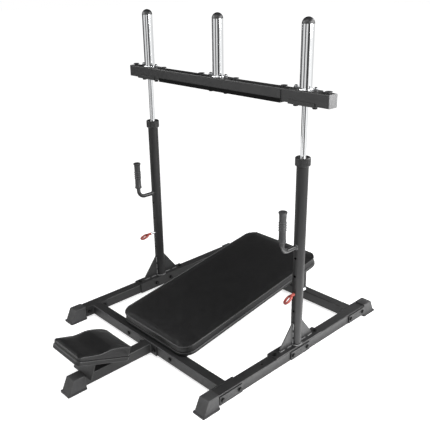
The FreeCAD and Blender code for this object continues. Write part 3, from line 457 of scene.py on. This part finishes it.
def blow_up(piece, voxel, pressure, bottom, glued, room):
    """Fills a closed cushion as cloth: its lowest stretch is glued down, and room(co) caps the rest."""
    pick(piece)
    remesh = piece.modifiers.new("even cloth", "REMESH")
    remesh.mode = "VOXEL"
    remesh.voxel_size = voxel
    bpy.ops.object.modifier_apply(modifier=remesh.name)
    start = [v.co.copy() for v in piece.data.vertices]
    sewn = piece.vertex_groups.new(name="sewn")
    for v in piece.data.vertices:
        sewn.add([v.index], 1.0 if v.co.z < bottom + glued else 0.0, "REPLACE")
    cloth = piece.modifiers.new("stuffing", "CLOTH")
    cloth.settings.quality = 5
    cloth.settings.mass = 0.4
    cloth.settings.tension_stiffness = 20.0
    cloth.settings.compression_stiffness = 20.0
    cloth.settings.bending_stiffness = 4.0
    cloth.settings.use_pressure = True
    cloth.settings.uniform_pressure_force = pressure
    cloth.settings.vertex_group_mass = sewn.name
    cloth.settings.effector_weights.gravity = 0.0
    for frame_number in range(1, 21):
        bpy.context.scene.frame_set(frame_number)
    bpy.ops.object.modifier_apply(modifier=cloth.name)
    bpy.context.scene.frame_set(1)
    for v, was in zip(piece.data.vertices, start):
        move = v.co - was
        cap = room(was)
        if move.length > cap:
            v.co = was + move * (cap / move.length)
    piece.vertex_groups.clear()
    bpy.ops.object.mode_set(mode="EDIT")
    bpy.ops.mesh.select_all(action="SELECT")
    bpy.ops.mesh.vertices_smooth(factor=0.5, repeat=2)
    bpy.ops.object.mode_set(mode="OBJECT")
    finer = piece.modifiers.new("finer", "SUBSURF")
    finer.levels = finer.render_levels = 1
    bpy.ops.object.modifier_apply(modifier=finer.name)
    bpy.ops.object.shade_smooth()
    for v in piece.data.vertices:
        v.co.z = max(v.co.z, bottom + least_room)


def piping(name, cushion, half, y0, y1, corner, radius, height):
    """Sewn edge: a cord along the rounded outline at height(y), laid on the cushion where that is nearest."""
    bpy.ops.mesh.primitive_plane_add(size=1.0, location=(0.0, (y0 + y1) / 2, 0.0))
    edge = bpy.context.object
    edge.name = name
    edge.scale = (2 * half, y1 - y0, 1.0)
    settle()
    bpy.ops.object.mode_set(mode="EDIT")
    bpy.ops.mesh.select_all(action="SELECT")
    bpy.ops.mesh.bevel(offset=corner, offset_type="OFFSET", segments=10, affect="VERTICES")
    bpy.ops.mesh.select_all(action="SELECT")
    bpy.ops.mesh.delete(type="ONLY_FACE")
    bpy.ops.mesh.select_all(action="SELECT")
    bpy.ops.mesh.subdivide(number_cuts=3)
    bpy.ops.object.mode_set(mode="OBJECT")
    points = edge.data.vertices
    long_edges = [e.index for e in edge.data.edges
                  if (points[e.vertices[0]].co - points[e.vertices[1]].co).length > 0.02]
    bpy.ops.object.mode_set(mode="EDIT")
    bpy.ops.mesh.select_mode(type="EDGE")
    bpy.ops.mesh.select_all(action="DESELECT")
    bpy.ops.object.mode_set(mode="OBJECT")
    for index in long_edges:
        edge.data.edges[index].select = True
    bpy.ops.object.mode_set(mode="EDIT")
    bpy.ops.mesh.subdivide(number_cuts=9)
    bpy.ops.mesh.select_mode(type="VERT")
    bpy.ops.object.mode_set(mode="OBJECT")
    for v in edge.data.vertices:
        v.co.z = height(v.co.y)
        found, near, outward, face = cushion.closest_point_on_mesh(v.co)
        v.co = near + outward * radius * 0.25
    bpy.ops.object.convert(target="CURVE")
    edge = bpy.context.object
    edge.data.bevel_depth = radius
    edge.data.bevel_resolution = 3
    bpy.ops.object.convert(target="MESH")
    edge = bpy.context.object
    bpy.ops.object.shade_smooth()
    return edge


def lay_on_slope(piece, degrees, foot):
    """Turns a pad made level to its slope, and puts its foot in place."""
    pick(piece)
    piece.rotation_euler = (math.radians(degrees), 0.0, 0.0)
    piece.location = foot
    settle()


pad_half, pad_length, pad_corner = 0.245, 0.957, 0.065
pad_side, pad_slope, pad_foot = 0.032, 9.026, (0.0, -0.3, 0.1135)
pad_inset, welt_rise = 0.003, 0.003


def back_pad_room(co):
    """Caps the back pad: a low crown over most of the top, a slight swell of the side band."""
    edge = distance_in(co.x, co.y, pad_half - pad_inset, pad_inset, pad_length - pad_inset,
                       pad_corner - pad_inset)
    if co.z > -0.003:
        return crown_room(edge, 0.0062, 0.035)
    return band_room((co.z + pad_side) / pad_side, 0.0024)


back_pad = rounded_block("back_pad", (2 * pad_half - 2 * pad_inset, pad_length - 2 * pad_inset, pad_side),
                         (0.0, pad_length / 2, -pad_side / 2), pad_corner - pad_inset, 16)
blow_up(back_pad, 0.005, 4.0, -pad_side, 0.005, back_pad_room)
back_piping = piping("back_pad_piping", back_pad, pad_half, 0.0, pad_length, pad_corner, 0.0029,
                     lambda y: welt_rise)
lay_on_slope(back_pad, pad_slope, pad_foot)
finish_piece(back_pad, vinyl, "frame", "vinyl", "back_pad_cushion")
lay_on_slope(back_piping, pad_slope, pad_foot)
finish_piece(back_piping, welt_highlight_vinyl, "frame", "vinyl")


# Head pad: a thick neck roll that dips to the crown of the head, on its own board.
# Bent steel bracket under it, screwed up into the board from below.
dress(vinyl, "head_pad_board")
dress(coat, "head_pad_bracket")
dress(black_steel, "head_pad_screws")
head_half, head_length, head_corner, head_inset = 0.105, 0.272, 0.02, 0.002
head_slope, head_foot, head_slices = -20.3, (0.0, -0.483, 0.1095), 40
head_profile = ((0.0, 39.0), (0.05, 42.4), (0.12, 44.8), (0.2, 45.6), (0.3, 45.2), (0.39, 43.6),
                (0.456, 38.8), (0.5, 34.2), (0.54, 29.8), (0.6, 24.8), (0.645, 22.6), (0.7, 21.2),
                (0.78, 20.0), (0.9, 18.0), (0.95, 16.0), (1.0, 13.2))


def head_top(y):
    """Height of the head pad's sewn edge over its board; y runs from 0 at the neck to minus its length."""
    share = min(max(-y / head_length, 0.0), 1.0)
    for (s0, h0), (s1, h1) in zip(head_profile, head_profile[1:]):
        if share <= s1:
            return (h0 + (h1 - h0) * (share - s0) / (s1 - s0)) / 1000.0
    return head_profile[-1][1] / 1000.0


def head_pad_room(co):
    """Caps the head pad: the same crown and swell, on a smaller plan."""
    edge = distance_in(co.x, co.y, head_half - head_inset, -head_length + head_inset, -head_inset,
                       head_corner - head_inset)
    if co.z > head_top(co.y) - 0.0025:
        return crown_room(edge, 0.0058, 0.022)
    return band_room(co.z / head_top(co.y), 0.0022)


head_pad = rounded_block("head_pad", (2 * head_half - 2 * head_inset, head_length - 2 * head_inset, 0.01),
                         (0.0, -head_length / 2, 0.005), head_corner - head_inset, 8)
bpy.ops.object.mode_set(mode="EDIT")
for slice_number in range(1, head_slices):
    bpy.ops.mesh.select_all(action="SELECT")
    bpy.ops.mesh.bisect(plane_co=(0, -head_length * slice_number / head_slices, 0), plane_no=(0, 1, 0))
bpy.ops.object.mode_set(mode="OBJECT")
for v in head_pad.data.vertices:
    if v.co.z > 0.005:
        v.co.z = head_top(v.co.y) + 0.0005
blow_up(head_pad, 0.004, 5.0, 0.0, 0.0045, head_pad_room)
head_piping = piping("head_pad_piping", head_pad, head_half, -head_length, 0.0, head_corner, 0.0026,
                     lambda y: head_top(y) + welt_rise)
lay_on_slope(head_pad, head_slope, head_foot)
finish_piece(head_pad, vinyl, "frame", "vinyl", "head_pad_cushion")
lay_on_slope(head_piping, head_slope, head_foot)
finish_piece(head_piping, welt_highlight_vinyl, "frame", "vinyl")


# Saddles: a bent flange plate on each rail, with a gusset before and behind the upright.
# Plate and gussets are stitch welded, and the upright stands in a full round weld. These beads are painted
# light grey, a painted highlight for their glint.
dress(coat, "left_saddle", "right_saddle")
welds = []
gusset_face, tube_face = 0.0036, 0.0259
post_stitches = ((0.078, 0.098), (0.112, 0.132), (0.148, 0.174))
deck_stitches = ((0.037, 0.063), (0.084, 0.109))
for side in (-1, 1):
    welds.append(bead_ring((side * upright_x, upright_y, deck + 0.0018), 0.0272, (0, 0, 1), 0.0064))
    for way in (-1, 1):
        for face in (-1, 1):
            x = side * upright_x + face * gusset_face
            y = upright_y + way * tube_face
            for z0, z1 in post_stitches:
                welds.append(bead_run((x, y, z0), (x, y, z1), 0.0056))
            for y0, y1 in deck_stitches:
                welds.append(bead_run((x, upright_y + way * y0, deck + 0.0008),
                                      (x, upright_y + way * y1, deck + 0.0008), 0.006))
# Saddle weld colour: light grey, about ten times the frame coat, a painted highlight for the glint on the
# beads.
saddle_weld_highlight = powder_coat("saddle weld beads painted light as highlight", (0.15, 0.15, 0.152), (0.24, 0.24, 0.242), 0.16, 0.26)
finish_piece(join("saddle_welds", welds), saddle_weld_highlight, "frame", "coat")


# Uprights and handles: round steel tube, coated like the base but a shade darker and smoother,
# with five drilled heights for the safety pins and a bent bar welded on in front.
tube_coat = powder_coat("black tube coat", (0.014, 0.014, 0.0144), (0.019, 0.019, 0.0194), 0.34, 0.44, 0.3)
dress(tube_coat, "left_upright", "right_upright")
handle_coat = powder_coat("smooth handle coat", (0.022, 0.022, 0.0224), (0.028, 0.028, 0.0284), 0.2, 0.28)
dress(handle_coat, "left_handle", "right_handle")
handle_weld_y, handle_height = upright_y - 0.0262, 0.556
welds = [bead_ring((side * upright_x, handle_weld_y, handle_height), 0.0112, (0, 1, 0), 0.0042)
         for side in (-1, 1)]
finish_piece(join("handle_welds", welds), weld_highlight_coat, "frame", "coat")


# Collars: ribbed nylon bushings pressed over the tops of the uprights.
# They guide the chrome rods and take the knocks of the carriage.
black_plastic, tree, shader, place = new_finish("black plastic", (0.012, 0.012, 0.0125), 0.3)
wear(tree, shader, place, 200.0, 0.26, 0.36)
skin(tree, shader, place, 1500.0, 0.00003, 0.5, soft_edge(tree, 0.0008))
dress(black_plastic, "left_collar", "right_collar")


# Handle grips: moulded rubber sleeves with a thick foot, finger rings and a flat flanged top.
# Pushed on over the bare end of each handle.
def turned(name, x, y, outline, steps=40):
    """Turned piece: outline is (radius, height) pairs, spun about the upright line at x, y."""
    bpy.ops.object.select_all(action="DESELECT")
    bpy.ops.mesh.primitive_plane_add(size=0.001, location=(x + outline[0][0], y, outline[0][1]))
    piece = bpy.context.object
    piece.name = name
    bpy.ops.object.mode_set(mode="EDIT")
    bpy.ops.mesh.select_all(action="SELECT")
    bpy.ops.mesh.merge(type="CENTER")
    for (r0, z0), (r1, z1) in zip(outline, outline[1:]):
        bpy.ops.mesh.extrude_region_move(TRANSFORM_OT_translate={"value": (r1 - r0, 0, z1 - z0)})
    bpy.ops.mesh.select_all(action="SELECT")
    bpy.ops.mesh.spin(steps=steps, angle=2 * math.pi, center=(x, y, 0), axis=(0, 0, 1))
    bpy.ops.mesh.select_all(action="SELECT")
    bpy.ops.mesh.remove_doubles(threshold=0.00002)
    bpy.ops.mesh.normals_make_consistent(inside=False)
    bpy.ops.object.mode_set(mode="OBJECT")
    settle()
    bpy.ops.object.shade_smooth_by_angle(angle=math.radians(35.0))
    return piece


grip_rubber, tree, shader, place = new_finish("grip rubber", (0.024, 0.024, 0.025), 0.5)
wear(tree, shader, place, 120.0, 0.44, 0.58)
skin(tree, shader, place, 1600.0, 0.00008, 0.8)
grip_low, grip_high, grip_y = 0.608, 0.744, 0.041
valley, slope, crest = 0.0149, 0.0158, 0.0171
outline = [(0.0103, grip_low), (slope, grip_low), (0.0168, grip_low + 0.001), (crest, grip_low + 0.0025),
           (crest, grip_low + 0.0075), (0.0166, grip_low + 0.0092), (0.0157, grip_low + 0.0105)]
for ring in (-0.014, -0.003, 0.008, 0.019):
    middle = (grip_low + grip_high) / 2 + ring
    outline += [(valley, middle - 0.0046), (slope, middle - 0.0036), (crest, middle - 0.0018),
                (crest, middle + 0.0018), (slope, middle + 0.0036), (valley, middle + 0.0046)]
outline += [(slope, grip_high - 0.013), (0.0166, grip_high - 0.0095), (0.0182, grip_high - 0.0072),
            (0.0187, grip_high - 0.0055), (0.0187, grip_high - 0.0025), (0.0182, grip_high - 0.001),
            (0.0168, grip_high), (0.0, grip_high)]
for side, word in ((-1, "left"), (1, "right")):
    sleeve = turned(word + "_grip_sleeve", side * upright_x, grip_y, outline)
    finish_piece(sleeve, grip_rubber, "frame", "grip_rubber", word + "_grip")


# Carriage beam: 50 by 54 mm steel tube across both guide rods, closed by pressed-in end caps.
# Steel channels underneath take the rods at the ends and the user's feet in the middle.
dress(coat, "beam", "left_rod_bracket", "right_rod_bracket", "foot_channel")
# The end caps are black plastic, given a light grey here: a painted sheen for the light their glossy ends
# reflect.
cap_sheen_plastic, tree, shader, place = new_finish("beam cap painted light grey as sheen", (0.18, 0.18, 0.182), 0.42)
wear(tree, shader, place, 150.0, 0.38, 0.5)
skin(tree, shader, place, 1300.0, 0.00004, 0.6)
finish_piece(softened("beam_end_caps", "beam_caps", 0.0011), cap_sheen_plastic, "carriage", "black_plastic",
             "beam_end_caps")


# Foot grip mat: ribbed black rubber glued round the underside of the foot channel.
# It is cut out round the middle peg's two bolts.
# Its colour is darker than any black rubber: black rubber and, partly, painted shadow from the beam above it.
mat_rubber_and_shadow, tree, shader, place = new_finish("ribbed foot rubber darkened by painted shadow", (0.004, 0.004, 0.004), 0.9, 0.0, 0.1)
ribs = tree.nodes.new("ShaderNodeTexWave")
ribs.wave_type = "BANDS"
ribs.bands_direction = "X"
ribs.inputs["Scale"].default_value = 60.0
tree.links.new(place, ribs.inputs["Vector"])
tree.links.new(relief(tree, ribs.outputs["Fac"], 0.0006, 0.8), shader.inputs["Normal"])
dress(mat_rubber_and_shadow, "foot_grip_mat")


# Plate pegs and guide rods: chromed tube with a smooth bright ring at each peg's foot, on flat
# steel plates bolted through the beam. Domed rubber plugs close the tops of the pegs.
chrome, tree, shader, place = new_finish("polished chrome", (0.87, 0.88, 0.89), 0.07, 1.0)
wear(tree, shader, place, 30.0, 0.05, 0.11, 3.0)
dress(chrome, "left_peg", "centre_peg", "right_peg", "left_guide_rod", "right_guide_rod")
finish_piece(softened("peg_plates", "peg_flats", 0.0008, 1), coat, "carriage", "coat", "peg_plates")
dome_rubber, tree, shader, place = new_finish("dome rubber", (0.018, 0.018, 0.019), 0.4)
wear(tree, shader, place, 90.0, 0.34, 0.46)
skin(tree, shader, place, 1500.0, 0.00004, 0.5)
dress(dome_rubber, "left_peg_cap", "centre_peg_cap", "right_peg_cap")
peg_foot, peg_spots = 1.223, (-upright_x, 0.0, upright_x)
ring_outline = [(0.0251, peg_foot + 0.0068), (0.0262, peg_foot + 0.0063), (0.028, peg_foot + 0.0053),
                (0.0295, peg_foot + 0.0039), (0.0303, peg_foot + 0.0022), (0.0304, peg_foot + 0.0008),
                (0.0299, peg_foot)]
rings = [turned("foot ring", x, upright_y, ring_outline, 48) for x in peg_spots]
finish_piece(join("peg_welds", rings), chrome, "carriage", "chrome")


# Plate bumpers: six rubber mushrooms, one on each side of every peg.
# They are pressed into the top of the beam, where a weight plate lands.
bumper_outline = [(0.009, 1.22), (0.009, 1.2247), (0.0135, 1.2251), (0.0147, 1.2257), (0.015, 1.2267),
                  (0.0146, 1.228), (0.013, 1.2286), (0.009, 1.2289), (0.0, 1.229)]
mushrooms = [turned("mushroom", x + step, upright_y, bumper_outline, 32) for x in peg_spots
             for step in (-0.11, 0.11)]
finish_piece(join("bumper_mushrooms", mushrooms), rubber, "carriage", "black_rubber", "plate_bumpers")


# Carriage bolts: M12 through plate, beam and channel, with a washer and head below.
# A zinc-plated domed nut closes each one on top.
nut_zinc, tree, shader, place = new_finish("dull zinc", (0.2, 0.203, 0.206), 0.28, 1.0)
wear(tree, shader, place, 500.0, 0.24, 0.36, 3.0)
nut_spots = [(x + step, upright_y) for x in peg_spots for step in (-0.048, 0.048)]
nut_skirt, nut_across, channel_under, washer_thick = 0.007, 0.018, 1.16, 0.003
nut_top = peg_foot + nut_skirt
dome_outline = [(0.0086, nut_top - 0.0005), (0.0086, nut_top + 0.0016), (0.0082, nut_top + 0.0032),
                (0.0072, nut_top + 0.0049), (0.0056, nut_top + 0.0064), (0.0034, nut_top + 0.0074),
                (0.0014, nut_top + 0.0078), (0.0, nut_top + 0.0079)]
domes = []
for x, y in nut_spots:
    bpy.ops.mesh.primitive_cylinder_add(vertices=6, radius=nut_across / math.sqrt(3), depth=nut_skirt,
                                        location=(x, y, peg_foot + nut_skirt / 2))
    nut = bpy.context.object
    ease(nut, 0.0006)
    domes += [nut, turned("dome", x, y, dome_outline, 28)]
finish_piece(join("domed_nuts", domes), nut_zinc, "carriage", "chrome", "carriage_cap_nuts")
below = place_copies("carriage_bolt_heads", hex_head(nut_across, 0.0075, 0.0088, 0.0014),
                     [((x, y, channel_under), (0, 0, -1)) for x, y in nut_spots])
washers = []
for x, y in nut_spots:
    bpy.ops.mesh.primitive_cylinder_add(vertices=36, radius=0.012, depth=washer_thick,
                                        location=(x, y, channel_under + washer_thick / 2))
    washer = bpy.context.object
    ease(washer, 0.0005)
    washers.append(washer)
finish_piece(join("carriage_bolts_below", [below] + washers), black_steel, "carriage", "black_steel",
             "carriage_bolts")


# Guide rod glides: white nylon plugs at the lower ends of the rods, turned to a running fit.
# They slide inside the uprights and keep the carriage straight.
nylon, tree, shader, place = new_finish("white nylon", (0.7, 0.69, 0.66), 0.5)
skin(tree, shader, place, 900.0, 0.00004, 0.5)
dress(nylon, "left_rod_glide", "right_rod_glide")


# Safety pins: zinc-plated round bar, chamfered at the point, that the rods come down on.
# A red dipped sleeve and ring on the end of each is pulled to free it.
zinc, tree, shader, place = new_finish("zinc plate", (0.62, 0.63, 0.64), 0.28, 1.0)
wear(tree, shader, place, 400.0, 0.2, 0.38, 3.0)
dress(zinc, "left_pin", "right_pin")
red_vinyl, tree, shader, place = new_finish("red dipped vinyl", (0.36, 0.06, 0.045), 0.42)
shade = tint(tree, grain(tree, place, 120.0), (0.33, 0.05, 0.038), (0.39, 0.07, 0.052))
tree.links.new(shade, shader.inputs["Base Color"])
skin(tree, shader, place, 700.0, 0.00005, 0.4)
dress(red_vinyl, "left_pin_loop", "right_pin_loop")


# Studio: white floor that runs out of sight, soft boxes on the right and overhead,
# and cards that only reflections see, dark and bright, as around chrome in a product shot.
def seen_or_mirrored(tree, path):
    """1 for camera and mirror-like rays, 0 for the rest, from the tree's light path node."""
    either = tree.nodes.new("ShaderNodeMath")
    either.operation = "MAXIMUM"
    tree.links.new(path.outputs["Is Camera Ray"], either.inputs[0])
    tree.links.new(path.outputs["Is Glossy Ray"], either.inputs[1])
    return either.outputs["Value"]


def choose(tree, value, first, second, end):
    """Wires the first shader to the end where the value is 0, the second where it is 1."""
    mix = tree.nodes.new("ShaderNodeMixShader")
    tree.links.new(value, mix.inputs["Fac"])
    tree.links.new(first, mix.inputs[1])
    tree.links.new(second, mix.inputs[2])
    tree.links.new(mix.outputs["Shader"], tree.nodes[end].inputs["Surface"])


bpy.ops.mesh.primitive_plane_add(size=60.0, location=(0, 0, 0))
floor = bpy.context.object
floor.name = "floor"
paper, tree, shader, place = new_finish("white paper", (0.8, 0.8, 0.8), 0.9, 0.0, 0.0)
path = tree.nodes.new("ShaderNodeLightPath")
glow = tree.nodes.new("ShaderNodeEmission")
glow.inputs["Color"].default_value = (1, 1, 1, 1)
level = tree.nodes.new("ShaderNodeMapRange")
level.inputs["To Min"].default_value = 0.45
level.inputs["To Max"].default_value = 0.74
tree.links.new(path.outputs["Is Camera Ray"], level.inputs["Value"])
tree.links.new(level.outputs["Result"], glow.inputs["Strength"])
both = tree.nodes.new("ShaderNodeAddShader")
tree.links.new(shader.outputs["BSDF"], both.inputs[0])
tree.links.new(glow.outputs["Emission"], both.inputs[1])
seen = seen_or_mirrored(tree, path)
choose(tree, seen, shader.outputs["BSDF"], both.outputs["Shader"], "Material Output")
floor.data.materials.append(paper)

world = bpy.data.worlds.new("studio")
bpy.context.scene.world = world
world.use_nodes = True
tree = world.node_tree
fill = tree.nodes["Background"]
fill.inputs["Color"].default_value = (1, 1, 1, 1)
fill.inputs["Strength"].default_value = 0.4
white = tree.nodes.new("ShaderNodeBackground")
white.inputs["Color"].default_value = (1, 1, 1, 1)
white.inputs["Strength"].default_value = 1.0
seen = seen_or_mirrored(tree, tree.nodes.new("ShaderNodeLightPath"))
choose(tree, seen, fill.outputs["Background"], white.outputs["Background"], "World Output")


def soft_box(name, place, target, size, power):
    """Square area light that faces its target."""
    bpy.ops.object.light_add(type="AREA", location=place)
    lamp = bpy.context.object
    lamp.name = name
    lamp.data.shape = "RECTANGLE"
    lamp.data.size = lamp.data.size_y = size
    lamp.data.energy = power
    aim = Vector(target) - Vector(place)
    lamp.rotation_euler = aim.to_track_quat("-Z", "Y").to_euler()


soft_box("soft box right", (2.6, 0.5, 1.9), (0.3, 0.1, 0.3), 1.6, 85.0)
soft_box("soft box above", (0.4, -1.2, 3.2), (0.0, 0.0, 0.3), 2.0, 30.0)


def reflected_only(piece, tone):
    """Paper of one even tone that only mirror-like rays meet: no camera, shadow or soft light sees it."""
    paper, tree, shader, place = new_finish(piece.name + " paper", (0.0, 0.0, 0.0), 1.0, 0.0, 0.0)
    shader.inputs["Emission Color"].default_value = (1, 1, 1, 1)
    shader.inputs["Emission Strength"].default_value = tone
    piece.data.materials.append(paper)
    for flag in ("visible_camera", "visible_diffuse", "visible_transmission", "visible_shadow"):
        setattr(piece, flag, False)


def card(name, tone, start, end, near=3.6, far=6.0, low=0.0, high=2.2):
    """Curved card between two compass angles, in degrees from +X, leaning out from near to far."""
    bpy.ops.mesh.primitive_plane_add(size=0.001, location=(near, 0.0, low))
    piece = bpy.context.object
    piece.name = name
    bpy.ops.object.mode_set(mode="EDIT")
    bpy.ops.mesh.merge(type="CENTER")
    bpy.ops.mesh.extrude_region_move(TRANSFORM_OT_translate={"value": (far - near, 0, high - low)})
    bpy.ops.mesh.select_all(action="SELECT")
    steps = max(2, int(abs(end - start) / 5))
    bpy.ops.mesh.spin(steps=steps, angle=math.radians(start - end), center=(0, 0, 0), axis=(0, 0, 1))
    bpy.ops.object.mode_set(mode="OBJECT")
    settle()
    piece.rotation_euler = (0, 0, math.radians(start))
    settle()
    reflected_only(piece, tone)


card("card left", 0.12, 128.0, 222.0)
card("card back", 0.0, 85.0, 190.0, 3.6, 3.6, 1.5, 3.6)
card("card front", 0.1, -98.0, -76.0)
card("card right", 0.06, -47.0, -11.0)
card("bright card", 1.05, -8.0, 46.0)
card("edge card left", 6.0, 195.0, 255.0, 3.4, 2.6, 1.9, 3.3)
card("edge card right", 6.0, 20.0, 80.0, 3.4, 2.6, 1.9, 3.3)
bpy.ops.mesh.primitive_plane_add(size=7.0, location=(0, 0, 3.4))
bpy.context.object.name = "card ceiling"
reflected_only(bpy.context.object, 0.0)
bpy.ops.mesh.primitive_plane_add(size=1.0, location=(0.86, 0.1, 0.004))
bpy.context.object.name = "bright floor card"
bpy.context.object.scale = (0.6, 1.7, 1.0)
settle()
reflected_only(bpy.context.object, 3.8)

camera_turn = (math.radians(68.4597), math.radians(0.8110), math.radians(46.5244))
bpy.ops.object.camera_add(location=(1.98667, -1.73756, 1.64382), rotation=camera_turn)
camera = bpy.context.object
camera.data.sensor_width = 36.0
camera.data.lens = 50.987
bpy.context.scene.camera = camera
bpy.context.scene.view_settings.view_transform = "Standard"
